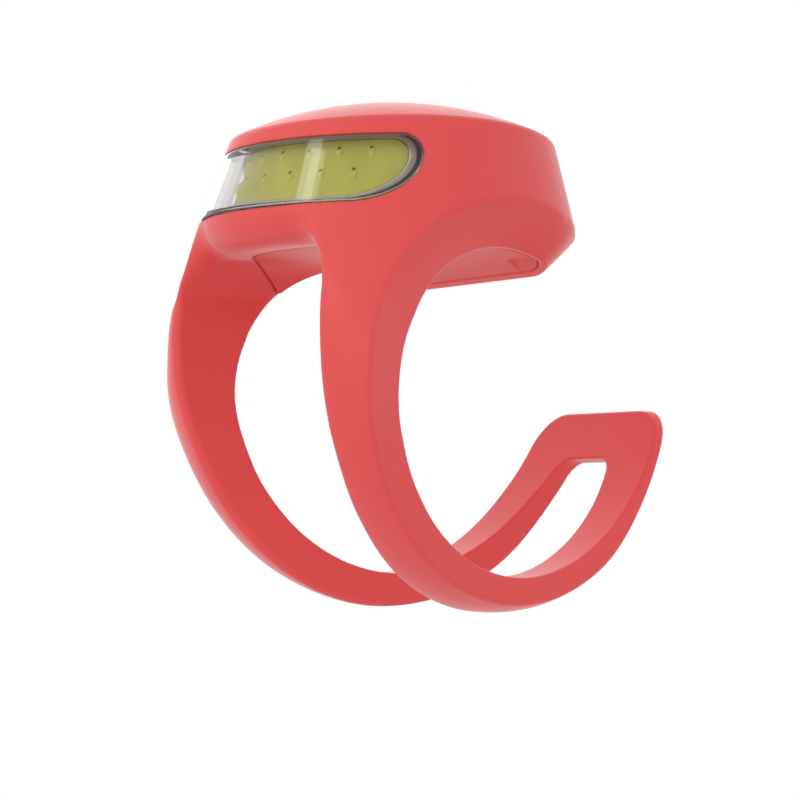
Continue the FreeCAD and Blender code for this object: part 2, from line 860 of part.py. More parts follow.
BOARD_TOP = "board_bottom + board_thickness"
ROOF_INSIDE = "case_roof - case_roof_thickness"
bosses = []
for side, sign in (("left", "-"), ("right", "")):
    boss = cylinder("boss_" + side, "boss_radius", "%s - (%s)" % (ROOF_INSIDE, BOARD_TOP),
                    across=sign + "boss_place", along="stack_centre", above=BOARD_TOP)
    bosses.append(boss)
screw_holes = []
for side, sign in (("left", "-"), ("right", "")):
    hole = cylinder("screw_hole_" + side, "screw_radius + screw_hole_gap",
                    "screw_length + 0.4", across=sign + "boss_place",
                    along="stack_centre", above="board_bottom - 0.2")
    screw_holes.append(hole)
screw_room = fuse("screw_room", *screw_holes)
inner_case = cut("inner_case", fuse("case_with_bosses", case_walls, *bosses),
                                screw_room)


# Jacket: the head's outer form, its band roots and the room inside for the case

def band_root(side_name, band):
    return shape_feature("band_root_" + side_name, end_before(band, size("front_flex_angle")))


bar_solid = Part.makeCylinder(size("saddle_radius"), REACH, Vector(-REACH / 2, 0, 0),
                              Vector(1, 0, 0))
right_band = strap_band(size("front_angle"), size("fork_angle")).cut(bar_solid)
left_band = across_x(right_band)
head_form = common("head_form", head_wall, head_dome)
head_shape = cut_in_turn("head_shape", head_form, saddle, below_front, vault, *undercuts,
                         rear_undercut)
jacket_cup = wall_cone("jacket_cup", "jacket_wall - fit_gap", "case_floor - fit_gap",
                       "case_roof + fit_gap")
jacket_neck = tab_prism("jacket_neck", "neck_half_width + fit_gap", "neck_rear + fit_gap",
                        "neck_corner", "flange_height - fit_gap", "case_floor")
jacket_room = common("jacket_room", fuse("jacket_room_parts", jacket_cup, jacket_neck),
                     dome_form("jacket_skin_dome", "top_skin - fit_gap"))
cover_room = tab_prism("cover_room", "cover_half_width + fit_gap", "cover_rear + fit_gap",
                       "cover_corner", "0", "flange_height")
cover_space = cut_in_turn("cover_space", cover_room, *side_reliefs("lip", size("cover_lip")))
jacket_head = cut_in_turn("jacket_head", head_shape, jacket_room, cover_space, lens_window,
                          button_axis)
silicone_jacket = fuse("silicone_jacket", jacket_head, band_root("right", right_band),
                       band_root("left", left_band))

# Dome button, its post and the switch it presses
button_disc = cylinder("button_disc", "button_radius", "wall_reach - case_roof",
                       along="dome_centre", above="case_roof")
button_solid = common("button_solid", button_disc, head_dome)
button_dome = cut("button_dome", button_solid, skin_dome)
SWITCH_TOP = BOARD_TOP + " + switch_height"
post_foot = SWITCH_TOP + " + plunger_rise + press_gap"
post_pin = cylinder("post_pin", "post_radius", "dome_top - (%s)" % post_foot,
                    along="dome_centre", above=post_foot)
post_pad = cylinder("post_pad", "post_pad_radius", "2 * post_pad_thickness",
                    along="dome_centre", above="dome_top - top_skin - post_pad_thickness")
button_post = common("button_post", fuse("post_solid", post_pin, post_pad), skin_dome)
switch_block = centred_box("switch_block", "switch_width", "switch_width", "switch_height",
                           "dome_centre", BOARD_TOP)
plunger_hole = cylinder("plunger_hole", "plunger_radius + plunger_gap", "switch_height",
                        along="dome_centre", above=BOARD_TOP + " + switch_height / 2")
switch_body = cut("switch_body", switch_block, plunger_hole)
switch_plunger = cylinder("switch_plunger", "plunger_radius",
                          "switch_height / 2 - plunger_stroke - plunger_gap + plunger_rise",
                          along="dome_centre",
                          above=BOARD_TOP + " + switch_height / 2 + plunger_stroke + plunger_gap")

# Lens and the lamp behind it
lens_cover = common("lens_cover", wall_shell("lens", "0", "jacket_wall - fit_gap"),
                    window_tool("lens_outline", size("fit_gap"), size("fit_gap")))
frame_inset = size("case_window_inset") + size("fit_gap")
frame_end_inset = size("case_window_end_inset") + size("fit_gap")
panel_inset = frame_inset + size("bezel_width")
panel_end_inset = frame_end_inset + size("bezel_end_width")
PANEL_BACK = "panel_depth + panel_thickness"
bezel_blank = common("bezel_blank", wall_shell("bezel", "jacket_wall + fit_gap", PANEL_BACK),
                     window_tool("bezel_outline", frame_inset, frame_end_inset))
panel_bezel = cut("panel_bezel", bezel_blank,
                  window_tool("bezel_opening", panel_inset, panel_end_inset))
phosphor_panel = common("phosphor_panel", wall_shell("panel", "panel_depth", PANEL_BACK),
                        window_tool("panel_outline", panel_inset + size("fit_gap"),
                                    panel_end_inset + size("fit_gap")))
BOARD_FACE = PANEL_BACK + " + die_thickness"
LED_BACK = BOARD_FACE + " + led_board_thickness"
led_board = common("led_board", wall_shell("led_board", BOARD_FACE, LED_BACK),
                   window_tool("led_board_outline", panel_inset, panel_end_inset))
CARRIER_BACK = LED_BACK + " + carrier_thickness"
carrier_blank = common("carrier_blank", wall_shell("carrier", LED_BACK, CARRIER_BACK), cup_room,
                       window_tool("carrier_outline", 0.0, 0.0))


def die_column(azimuth, height):
    """A block across the shell that is left for the dies, at a place round the wall."""
    block = Part.makeBox(size("die_width"), REACH / 2, size("die_height"),
                         Vector(-size("die_width") / 2, -REACH / 2, height))
    block.rotate(Vector(0, 0, 0), Vector(0, 0, 1), azimuth)
    block.translate(Vector(0, size("wall_centre"), 0))
    return block


die_blocks = []
columns = int(size("die_columns"))
for row, height in ((0, size("die_upper_row")), (1, size("die_lower_row"))):
    for column in range(columns - row):
        azimuth = (column - (columns - row - 1) / 2) * size("die_pitch_angle")
        die_blocks.append(die_column(azimuth, height))
led_dies = common("led_dies", wall_shell("dies", PANEL_BACK, BOARD_FACE),
                  shape_feature("die_blocks", Part.makeCompound(die_blocks)))

# Main board with its parts, hung under the case roof by two screws
board_disc = cylinder("board_disc", "board_radius", "board_thickness", along="stack_centre",
                      above="board_bottom")
main_board = cut("main_board", board_disc, screw_room)
driver_chip = centred_box("driver_chip", "chip_width", "chip_width", "chip_height",
                          "stack_centre", BOARD_TOP, across="chip_side")
passives = []
for place in range(4):
    across = "%s * passive_pitch" % (place - 1.5)
    passives.append(centred_box("passive_%d" % place, "passive_width", "passive_length",
                                "passive_height", "passive_rear", BOARD_TOP, across=across))
board_passives = group("board_passives", *passives)
screws = []
for side, sign in (("left", "-"), ("right", "")):
    place = {"across": sign + "boss_place", "along": "stack_centre"}
    shank = cylinder("screw_shank_" + side, "screw_radius", "screw_length",
                     above="board_bottom", **place)
    head = cylinder("screw_head_" + side, "screw_head_radius", "screw_head_height",
                    above="board_bottom - screw_head_height", **place)
    slot = centred_box("screw_slot_" + side, "2 * screw_head_radius", "screw_radius / 2",
                       "screw_head_height / 2", "stack_centre",
                       "board_bottom - screw_head_height", across=sign + "boss_place")
    screws.append(cut("screw_" + side, fuse("screw_solid_" + side, shank, head), slot))
board_screws = group("board_screws", *screws)

# Ribbon from the curved board through the carrier to the main board
RIBBON_REAR = "stack_centre - board_radius + ribbon_overlap"
ribbon_top = size("board_bottom") + size("board_thickness") + size("ribbon_thickness")
wall_radius, wall_middle = wall_at(ribbon_top)
ribbon_start = wall_middle - wall_radius + size("panel_depth") + size("panel_thickness")
ribbon_start += size("die_thickness") + size("led_board_thickness") + size("ribbon_gap")
ribbon_length = "%s - (%s)" % (RIBBON_REAR, ribbon_start)
led_ribbon = box("led_ribbon", "ribbon_width", ribbon_length, "ribbon_thickness",
                 across="-ribbon_width / 2", along="%s" % ribbon_start, above=BOARD_TOP)
ribbon_slot = centred_box("ribbon_slot", "ribbon_width + 2 * ribbon_slot_gap", "board_radius",
                          "ribbon_thickness + 2 * ribbon_slot_gap",
                          "stack_centre - board_radius", BOARD_TOP + " - ribbon_slot_gap")
led_carrier = cut("led_carrier", carrier_blank, ribbon_slot)

# Coin cells in their holder, with a contact above and one below


def coin_cell(name, bottom):
    can = cylinder(name + "_can", "cell_radius", "cell_height - cell_step_height",
                   along="stack_centre", above="%s + cell_step_height" % bottom)
    cap = cylinder(name + "_cap", "cell_radius - cell_step", "cell_step_height",
                   along="stack_centre", above=bottom)
    return fuse(name, can, cap)


coin_cell_lower = coin_cell("coin_cell_lower", "cell_bottom")
coin_cell_upper = coin_cell("coin_cell_upper", "cell_bottom + cell_height")
FLANGE_TOP = "flange_height + flange_thickness"
holder_bottom = FLANGE_TOP + " + holder_lift"
holder_height = "board_bottom - (%s)" % holder_bottom
holder_outside = cylinder("holder_outside", "cell_radius + cell_gap + holder_wall",
                          holder_height, along="stack_centre", above=holder_bottom)
holder_bore = cylinder("holder_bore", "cell_radius + cell_gap", holder_height,
                       along="stack_centre", above=holder_bottom)
cell_holder = cut("cell_holder", holder_outside, holder_bore)
CELL_TOP = "cell_bottom + 2 * cell_height"
upper_strip = centred_box("upper_strip", "contact_length", "contact_width",
                          "contact_thickness", "stack_centre",
                          "board_bottom - contact_thickness")
upper_nub = cylinder("upper_nub", "contact_nub_radius",
                     "board_bottom - contact_thickness - (%s)" % CELL_TOP,
                     along="stack_centre", above=CELL_TOP)
positive_contact = fuse("positive_contact", upper_strip, upper_nub)
lower_strip = centred_box("lower_strip", "contact_length", "contact_width",
                          "contact_thickness", "stack_centre", FLANGE_TOP)
lower_nub = cylinder("lower_nub", "contact_nub_radius",
                     "cell_bottom - contact_thickness - (%s)" % FLANGE_TOP,
                     along="stack_centre", above=FLANGE_TOP + " + contact_thickness")
negative_contact = fuse("negative_contact", lower_strip, lower_nub)

# Battery cover on the bar side, with its gasket and a scoop for a fingernail
cover_plug = tab_prism("cover_plug", "cover_half_width", "cover_rear", "cover_corner", "0",
                       "flange_height")
cover_flange = tab_prism("cover_flange", "neck_half_width", "neck_rear", "neck_corner",
                         "flange_height", FLANGE_TOP)


def scoop_tool():
    front = size("scoop_front")
    rear = front + size("scoop_length")
    bar = size("saddle_radius")
    deep = math.sqrt(bar ** 2 - front ** 2) + size("scoop_depth")
    flush = math.sqrt(bar ** 2 - rear ** 2)
    left = size("scoop_place") - size("scoop_width") / 2
    outline = [Vector(left, front, 0), Vector(left, front, deep), Vector(left, rear, flush),
               Vector(left, rear, 0), Vector(left, front, 0)]
    face = Part.Face(Part.makePolygon(outline))
    return shape_feature("nail_scoop", face.extrude(Vector(size("scoop_width"), 0, 0)))


cover_edges = side_reliefs("cover_edge", size("cover_lip") + size("fit_gap"))
battery_cover = cut_in_turn("battery_cover", fuse("cover_solid", cover_plug, cover_flange),
                            saddle, vault, scoop_tool(), *cover_edges)
gasket_ring = tab_prism("gasket_ring", "neck_half_width", "neck_rear", "neck_corner",
                        FLANGE_TOP, NECK_BOTTOM)
gasket_hole = tab_prism("gasket_hole", "neck_half_width - neck_wall", "neck_rear - neck_wall",
                        "neck_corner - neck_wall", FLANGE_TOP, NECK_BOTTOM)
cover_gasket = cut("cover_gasket", gasket_ring, gasket_hole)

# Strap beyond its first flex line: two stretches on each side and the joined tip
SIDES = {"right": right_band, "left": left_band}
strap_pieces = []
for side, band in SIDES.items():
    after_front = begin_after(band, size("front_flex_angle"))
    lower = end_before(after_front, size("under_flex_angle"))
    strap_pieces.append(shape_feature("strap_lower_" + side, lower))
    after_under = begin_after(band, size("under_flex_angle"))
    rear = end_before(after_under, size("rear_flex_angle"))
    strap_pieces.append(shape_feature("strap_rear_" + side, rear))
tip_bands = [begin_after(band, size("rear_flex_angle")) for band in SIDES.values()]
tip_shape = strap_tip_plate().fuse(tip_bands)
strap_pieces.append(shape_feature("strap_tip", tip_shape))

NODES = [silicone_jacket, button_dome, button_post, switch_body, switch_plunger, lens_cover,
         panel_bezel, phosphor_panel, led_dies, led_board, led_carrier, led_ribbon, inner_case,
         main_board, driver_chip, board_passives, board_screws, coin_cell_lower,
         coin_cell_upper, cell_holder, positive_contact, negative_contact, cover_gasket,
         battery_cover] + strap_pieces

doc.recompute()
for thing in doc.Objects:
    if "Invalid" in thing.State or "Error" in thing.State:
        raise RuntimeError("%s has failed: %s" % (thing.Name, thing.State))
os.makedirs("parts", exist_ok=True)
for node in NODES:
    shape = node.Shape
    if shape.isNull() or not shape.isValid() or not shape.Solids:
        raise RuntimeError("%s has no valid solid" % node.Label)
    print("%-18s %d solid, %9.2f mm3" % (node.Label, len(shape.Solids), shape.Volume))
    shape.exportStep("parts/%s.step" % node.Label)
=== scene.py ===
import json
import math

import bmesh
import bpy
import numpy as np
from mathutils import Matrix, Vector


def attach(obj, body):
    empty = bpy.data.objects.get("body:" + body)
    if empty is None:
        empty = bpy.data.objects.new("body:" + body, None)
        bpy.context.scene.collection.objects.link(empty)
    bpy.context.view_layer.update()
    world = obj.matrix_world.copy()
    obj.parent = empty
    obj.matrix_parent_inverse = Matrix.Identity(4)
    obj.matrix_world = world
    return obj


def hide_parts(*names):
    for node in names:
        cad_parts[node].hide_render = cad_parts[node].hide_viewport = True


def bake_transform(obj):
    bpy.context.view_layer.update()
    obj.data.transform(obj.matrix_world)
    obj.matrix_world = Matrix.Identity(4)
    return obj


# A bicycle headlight moulded into a silicone strap that hooks round the handlebar.
# Forms are written as fields in millimetres: below zero inside, above zero outside.
# X runs along the handlebar, the beam points to -Y and +Z is up. Meshes are in metres.

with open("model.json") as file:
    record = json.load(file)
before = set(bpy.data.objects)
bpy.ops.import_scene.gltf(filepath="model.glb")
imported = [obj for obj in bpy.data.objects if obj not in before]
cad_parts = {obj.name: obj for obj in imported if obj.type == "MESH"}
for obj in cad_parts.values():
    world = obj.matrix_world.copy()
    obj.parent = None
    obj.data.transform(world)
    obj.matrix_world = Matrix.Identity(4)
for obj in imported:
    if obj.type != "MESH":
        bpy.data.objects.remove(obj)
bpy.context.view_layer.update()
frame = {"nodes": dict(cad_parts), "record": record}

MM = 0.001

# Sizes, in millimetres and degrees. The origin is the centre of the bar.

BAR = 15.9
# The head's saddle on the bar ends at the rear here, and the wall and the dome rise from it
SADDLE_REAR = 8.5
RIM_HEIGHT = 28.0
RIM_RADIUS = 18.52
WALL_TAPER = 0.3
WALL_LEAN = 0.093
WALL_CENTRE = -3.79
DOME_TOP = 32.89
DOME_CENTRE = -4.8
DOME_SIDE_RADIUS = 46.6
DOME_LONG_RADIUS = 40.0
REAR_CREASE_HEIGHT = 17.7
VAULT_CORNER = 4.5
SKIN = 2.2
TOP_SKIN = 1.8

# Radii of rounded edges
RIDGE_ROUND = 0.6
RIM_ROUND = 0.35
EDGE_ROUND = 0.3
CREASE_ROUND = 0.4
BAND_ROUND = 1.0
SEAT_ROUND = 0.2
CRISP = 0.1
# How far one room reaches into the next, so that they open into each other
OVERLAP = 1.0
FIT_GAP = 0.05

# Stations along the strap. The ridge and the crease are heights over the inner radius.
ANGLE, GAP, HALF_WIDTH, INNER, RIDGE, CREASE, LEAN = range(7)
STATIONS = {
    "front": (150.0, 14.2, 18.1, BAR, 10.45, 5.6, 1.6),
    "collar": (160.0, 14.25, 18.15, BAR, 9.25, 5.6, 2.0),
    "shoulder": (172.0, 14.15, 18.2, BAR, 7.9, 5.45, 2.15),
    "waist": (195.0, 13.2, 17.75, BAR, 6.2, 4.75, 1.4),
    "flank": (217.0, 12.0, 17.2, 16.5, 5.35, 4.15, 0.6),
    "belly": (240.0, 10.5, 16.4, 17.7, 4.8, 3.6, 0.3),
    "keel": (262.0, 9.5, 15.2, 19.05, 4.35, 3.15, 0.1),
    "sole": (285.0, 8.9, 14.15, 20.6, 3.75, 2.9, 0.1),
    "heel": (308.0, 7.6, 13.5, 21.9, 3.6, 2.6, 0.1),
    "calf": (330.0, 6.0, 12.6, 23.5, 2.85, 1.5, 0.3),
    "fork": (344.5, 4.3, 11.7, 25.1, 2.25, 1.05, 0.3),
    "tip": (357.4, 3.2, 10.7, 26.8, 2.1, 0.9, 0.3),
}
FRONT_ANGLE = STATIONS["front"][ANGLE]
FORK_ANGLE = STATIONS["fork"][ANGLE]
TIP_ANGLE = STATIONS["tip"][ANGLE]
# Angles round the bar below this one belong to the tip, past a full turn
FIRST_ANGLE = 30.0


# Smooth values between stations

def flowing(at, places, values):
    """A curve through the values that never overshoots them."""
    places, values = np.array(places, float), np.array(values, float)
    steps = np.diff(places)
    rises = np.diff(values) / steps
    slopes = np.zeros_like(values)
    slopes[0], slopes[-1] = rises[0], rises[-1]
    for i in range(1, len(values) - 1):
        before, after = rises[i - 1], rises[i]
        if before * after > 0:
            slopes[i] = 2 * before * after / (before + after)
    at = np.clip(at, places[0], places[-1])
    i = np.clip(np.searchsorted(places, at, side="right") - 1, 0, len(steps) - 1)
    width = steps[i]
    t = (at - places[i]) / width
    start, end = values[i], values[i + 1]
    return (
        start * (2 * t**3 - 3 * t**2 + 1)
        + end * (3 * t**2 - 2 * t**3)
        + slopes[i] * width * (t**3 - 2 * t**2 + t)
        + slopes[i + 1] * width * (t**3 - t**2)
    )


STATION_ANGLES = [station[ANGLE] for station in STATIONS.values()]


def along_strap(angle, column):
    return flowing(angle, STATION_ANGLES, [station[column] for station in STATIONS.values()])


def smooth_step(value, low, high):
    t = np.clip((value - low) / (high - low), 0.0, 1.0)
    return t * t * (3 - 2 * t)


# Joining fields with rounded edges

def meet(a, b, radius):
    """What lies in both, with an outer edge of this radius."""
    inside = np.minimum(np.maximum(a, b), -radius)
    return inside + np.hypot(np.maximum(a + radius, 0), np.maximum(b + radius, 0))


def without(a, b, radius):
    """What lies in the first but not in the second, with an edge of this radius."""
    return meet(a, -b, radius)


def either(a, b, radius):
    """What lies in one or the other, with an inner corner of this radius."""
    return -meet(-a, -b, radius)


# The head's wall, dome, undercuts and vault

def wall_at(z):
    radius = RIM_RADIUS - WALL_TAPER * (z - RIM_HEIGHT)
    return radius, WALL_CENTRE + WALL_LEAN * (z - RIM_HEIGHT)


def wall(x, y, z):
    radius, centre = wall_at(z)
    return (np.hypot(x, y - centre) - radius) / math.hypot(1.0, WALL_TAPER)


def dome(x, y, z):
    crown = DOME_LONG_RADIUS - DOME_SIDE_RADIUS + np.sqrt(DOME_SIDE_RADIUS**2 - x * x)
    return np.hypot(y - DOME_CENTRE, z - DOME_TOP + DOME_LONG_RADIUS) - crown


LEAST_SQUARE = 0.01


def wall_width(angle, radius):
    """Half the wall's width across the bar, at an angle and a radius round the bar."""
    turn = np.radians(angle)
    y, z = radius * np.cos(turn), radius * np.sin(turn)
    wall_radius, centre = wall_at(z)
    return np.sqrt(np.maximum(wall_radius**2 - (y - centre) ** 2, LEAST_SQUARE))


LIP_HEIGHT = math.sqrt(BAR**2 - SADDLE_REAR**2)
LIP_ANGLE = math.degrees(math.atan2(LIP_HEIGHT, SADDLE_REAR))
FRONT_CREASE = BAR + STATIONS["front"][CREASE]

# Along the head's side: the saddle's half width and the radius of the wall's lower crease
SIDE_ANGLES = [LIP_ANGLE, 63.0, 75.0, 90.0, 105.0, 121.0, 135.0, FRONT_ANGLE]
SADDLE_WIDTHS = [15.0, 15.1, 15.35, 15.75, 16.25, 16.8, 17.4, STATIONS["front"][HALF_WIDTH]]
CREASE_RADII = [21.3, 20.8, 20.4, 20.5, 21.1, 21.5, 21.55, FRONT_CREASE]


def side_undercut(angle, radius, across):
    """Above zero outside the sloping face between the saddle's edge and the wall's crease."""
    half_width = flowing(angle, SIDE_ANGLES, SADDLE_WIDTHS)
    crease = flowing(angle, SIDE_ANGLES, CREASE_RADII)
    slope = (wall_width(angle, crease) - half_width) / (crease - BAR)
    return (across - half_width - slope * (radius - BAR)) / np.hypot(1.0, slope)


def rear_undercut(x, y, z):
    radius, centre = wall_at(REAR_CREASE_HEIGHT)
    crease = centre + np.sqrt(np.maximum(radius**2 - x * x, 0.0))
    run = np.maximum(crease - SADDLE_REAR, 0.0) / (REAR_CREASE_HEIGHT - LIP_HEIGHT)
    return ((y - SADDLE_REAR) - run * (z - LIP_HEIGHT)) / np.hypot(1.0, run)


# Where the side's slope meets the rear's, the corner tightens from the lip to this height
LIP_CORNER, CREASE_CORNER = 5.0, 1.5
CREASE_CORNER_HEIGHT = 18.0


def undercut(x, y, z, angle, radius):
    """Above zero outside the sloping faces at the head's sides and rear."""
    tight = smooth_step(z, LIP_HEIGHT, CREASE_CORNER_HEIGHT)
    corner = LIP_CORNER + (CREASE_CORNER - LIP_CORNER) * tight
    return meet(side_undercut(angle, radius, np.abs(x)), rear_undercut(x, y, z), corner)


def vault(x, y, z):
    """Above zero outside the gap between the bands, whose upper corners are round."""
    side = np.abs(x) - (STATIONS["front"][GAP] - VAULT_CORNER)
    above = z - (BAR - VAULT_CORNER)
    corner = np.hypot(np.maximum(side, 0), np.maximum(above, 0)) - VAULT_CORNER
    return np.maximum(corner + np.minimum(np.maximum(side, above), 0), y)


# The soft roll under the window grows between these places at the front, up and inwards
ROLL_ROUND = 5.5
ROLL_FRONT = (2.0, 6.0)
ROLL_UP = (9.0, 15.5)
ROLL_INWARDS = (-15.6, -7.5)


def head(x, y, z, angle, radius):
    form = meet(wall(x, y, z), dome(x, y, z), RIM_ROUND)
    form = meet(form, undercut(x, y, z, angle, radius), CREASE_ROUND)
    form = meet(form, BAR - radius, EDGE_ROUND)
    front = smooth_step(-y, *ROLL_FRONT)
    share = smooth_step(z, *ROLL_UP) * smooth_step(-np.abs(x), *ROLL_INWARDS) * front
    roll = RIDGE_ROUND + (ROLL_ROUND - RIDGE_ROUND) * share
    return meet(form, -vault(x, y, z), np.where(front > 0, roll, EDGE_ROUND))


# The strap's bands and its tip

TIP_CORNER = 4.2
EYELET_CORNER = 1.9
BULGE_ANGLES = [FRONT_ANGLE, 156.0, 166.0, 186.0]
BULGES = [0.5, 0.85, 0.65, 0.35]
RIDGE_ROUND_ANGLES = [FRONT_ANGLE, 165.0, 200.0, 300.0]
RIDGE_ROUNDS = [RIDGE_ROUND, BAND_ROUND, BAND_ROUND, EDGE_ROUND]
# The tip ends in a flat face. Places more than this many degrees before it count alike
END_REACH = 30.0


def band(x, y, z, angle, radius):
    across = np.abs(x)
    gap = along_strap(angle, GAP)
    half_width = along_strap(angle, HALF_WIDTH)
    inner = along_strap(angle, INNER)
    ridge = inner + along_strap(angle, RIDGE)
    thick = along_strap(angle, CREASE)
    crease = inner + thick
    lean = along_strap(angle, LEAN)
    crease_across = half_width + lean
    slope = lean / thick
    side = (across - half_width - slope * (radius - inner)) / np.hypot(1.0, slope)
    rise, fall = ridge - crease, crease_across - gap
    length = np.hypot(rise, fall)
    outside = ((across - crease_across) * rise + (radius - crease) * fall) / length
    inwards = np.clip((crease_across - across) / fall, 0, 1)
    bulge = flowing(angle, BULGE_ANGLES, BULGES)
    outside = outside - bulge * 4 * inwards * (1 - inwards)
    outside = np.maximum(outside, radius - ridge)
    beyond = np.radians(np.maximum(angle - TIP_ANGLE, -END_REACH))
    end = radius * np.sin(beyond)
    before_fork = np.radians(FORK_ANGLE - angle) * radius
    hole = meet(across - gap, -before_fork, EYELET_CORNER)
    ridge_round = flowing(angle, RIDGE_ROUND_ANGLES, RIDGE_ROUNDS)
    form = meet(side, end, TIP_CORNER)
    form = meet(form, without(outside, hole, ridge_round), CREASE_ROUND)
    return meet(form, inner - radius, EDGE_ROUND)


# Between these angles the head's form passes into the bands'
MIX_FROM, MIX_TO = 149.0, 155.0


def polar(y, z):
    """The angle round the bar, in degrees, and the radius."""
    return np.degrees(np.arctan2(z, y)) % 360.0, np.hypot(y, z)


def silicone(x, y, z):
    """The whole moulding: the head, both bands and the strap's tip."""
    angle, radius = polar(y, z)
    angle = np.where(angle < FIRST_ANGLE, angle + 360.0, angle)
    mixed = smooth_step(angle, MIX_FROM, MIX_TO)
    of_head = head(x, y, z, angle, radius)
    of_band = band(x, y, z, angle, radius)
    return of_head * (1 - mixed) + of_band * mixed


# The lamp's window in the wall, with swept ends

WINDOW_BOTTOM, WINDOW_TOP = 19.9, 27.3
WINDOW_END_ANGLE = 50.0
WINDOW_REACH = 4.9
WINDOW_SWEEP = 7.9
WINDOW_CORNER, LEAST_CORNER = 2.3, 0.3
TINY = 1e-6


def window(x, y, z, inset=0.0, end_inset=0.0):
    """Above zero outside the window's outline, drawn on the wall."""
    away = np.hypot(x, y - WALL_CENTRE)
    turn = np.arctan2(np.abs(x), WALL_CENTRE - y)
    reach = away * np.sin(turn - math.radians(WINDOW_END_ANGLE))
    corner = max(WINDOW_CORNER - inset, LEAST_CORNER)
    sweep = WINDOW_SWEEP - inset
    end = WINDOW_REACH - end_inset
    top = WINDOW_TOP - inset
    middle = top - corner
    depth = middle - (WINDOW_BOTTOM + inset)
    along = np.maximum(reach - (end - sweep), 0) / sweep
    down = np.maximum(middle - z, TINY) / depth
    size = np.hypot(along, down)
    low = (size - 1) * size / np.hypot(along / sweep, down / depth)
    past = reach - (end - corner)
    high = np.where(past > 0, np.hypot(past, z - middle) - corner, z - top)
    return np.where(z < middle, low, high)


# Rooms inside the moulding for the case and the button, and the battery cover with its seat

CASE_FLOOR, CASE_ROOF = 19.35, 28.05
BUTTON_RADIUS = 8.55
COVER_HALF_WIDTH, COVER_REAR, COVER_CORNER = 15.5, 8.0, 3.0
NECK_HALF_WIDTH, NECK_REAR, NECK_CORNER = 15.0, 10.2, 7.0
NECK_CENTRE = -4.0
FLANGE_BOTTOM, FLANGE_TOP, FLANGE_ROUND = 16.2, 16.9, 0.05
LENS_ROUND = 0.15
COVER_GAP = 0.1
COVER_EDGE = 0.75
COVER_OUTLINE_ROUND = 1.0
SEAT_BOTTOM, SEAT_ABOVE_FLANGE = 12.0, 0.5


def tab(x, y, half_width, rear, corner):
    """Above zero outside an outline that is round at the front and square at the rear."""
    across = np.abs(x)
    front = np.hypot(across, y - NECK_CENTRE) - half_width
    side, back = across - (half_width - corner), y - (rear - corner)
    square = (np.hypot(np.maximum(side, 0), np.maximum(back, 0)) - corner
              + np.minimum(np.maximum(side, back), 0))
    return np.where(y < NECK_CENTRE, front, np.maximum(square, across - half_width))


def cover_outline(x, y, inset):
    """The battery cover's plan, kept inside the saddle's own side and rear edge."""
    plan = tab(x, y, COVER_HALF_WIDTH, COVER_REAR, COVER_CORNER) + inset
    level = np.sqrt(np.maximum(BAR**2 - np.maximum(y, 0.0)**2, 1.0))
    angle, radius = polar(y, level)
    edge = undercut(x, y, level, angle, radius) + COVER_EDGE + inset
    return meet(plan, edge, COVER_OUTLINE_ROUND)


def rooms(x, y, z):
    """The room for the case, its neck down to the cover, and the well under the button."""
    under_dome = dome(x, y, z) + TOP_SKIN
    cup = meet(wall(x, y, z) + SKIN, under_dome, EDGE_ROUND)
    cup = meet(cup, meet(CASE_FLOOR - z, z - CASE_ROOF, EDGE_ROUND), EDGE_ROUND)
    neck = tab(x, y, NECK_HALF_WIDTH, NECK_REAR, NECK_CORNER) - FIT_GAP
    neck = meet(neck, meet(FLANGE_BOTTOM - z, z - CASE_FLOOR - OVERLAP, CRISP), CRISP)
    well = meet(np.hypot(x, y - DOME_CENTRE) - BUTTON_RADIUS, under_dome, EDGE_ROUND)
    well = meet(well, CASE_ROOF - OVERLAP - z, CRISP)
    return np.minimum(np.minimum(cup, neck), well)


def jacket(x, y, z):
    """The moulding without its rooms, its window and the battery cover's seat."""
    form = without(silicone(x, y, z), rooms(x, y, z), SEAT_ROUND)
    lens_seat = meet(window(x, y, z), -wall(x, y, z) - 2 * SKIN, CRISP)
    form = without(form, lens_seat, LENS_ROUND)
    level = np.maximum(z - FLANGE_BOTTOM - SEAT_ABOVE_FLANGE, SEAT_BOTTOM - z)
    return without(form, np.maximum(cover_outline(x, y, 0.0), level), SEAT_ROUND)


SCOOP_LEFT, SCOOP_FRONT, SCOOP_LENGTH, SCOOP_DEPTH = 8.8, 4.8, 2.6, 0.8
SCOOP_ROUND, SCOOP_EDGE, SCOOP_END_ROUND = 0.3, 0.15, 0.5


def nail_scoop(x, y, z):
    """A ramp that starts deep at the front and runs out towards the rear."""
    rear = SCOOP_FRONT + SCOOP_LENGTH
    deep = math.sqrt(BAR**2 - SCOOP_FRONT**2) + SCOOP_DEPTH
    flush = math.sqrt(BAR**2 - rear**2)
    slope = (deep - flush) / SCOOP_LENGTH
    ramp = (z - deep + slope * (y - SCOOP_FRONT)) / math.hypot(1.0, slope)
    left = (SCOOP_LEFT - x + z - flush) / math.sqrt(2.0)
    return meet(meet(ramp, SCOOP_FRONT - y, SCOOP_ROUND), left, SCOOP_END_ROUND)


def battery_cover(x, y, z):
    """The cover's plug with its curved face and scoop, on the flange that holds it inside."""
    plug = meet(cover_outline(x, y, COVER_GAP), z - FLANGE_BOTTOM - CRISP, CRISP)
    flange = tab(x, y, NECK_HALF_WIDTH, NECK_REAR, NECK_CORNER)
    flange = meet(flange, np.maximum(FLANGE_BOTTOM - z, z - FLANGE_TOP), FLANGE_ROUND)
    form = meet(np.minimum(plug, flange), BAR - np.hypot(y, z), SEAT_ROUND)
    form = without(form, vault(x, y, z), SEAT_ROUND)
    return without(form, nail_scoop(x, y, z), SCOOP_EDGE)


# Lens, rim and lamp panel

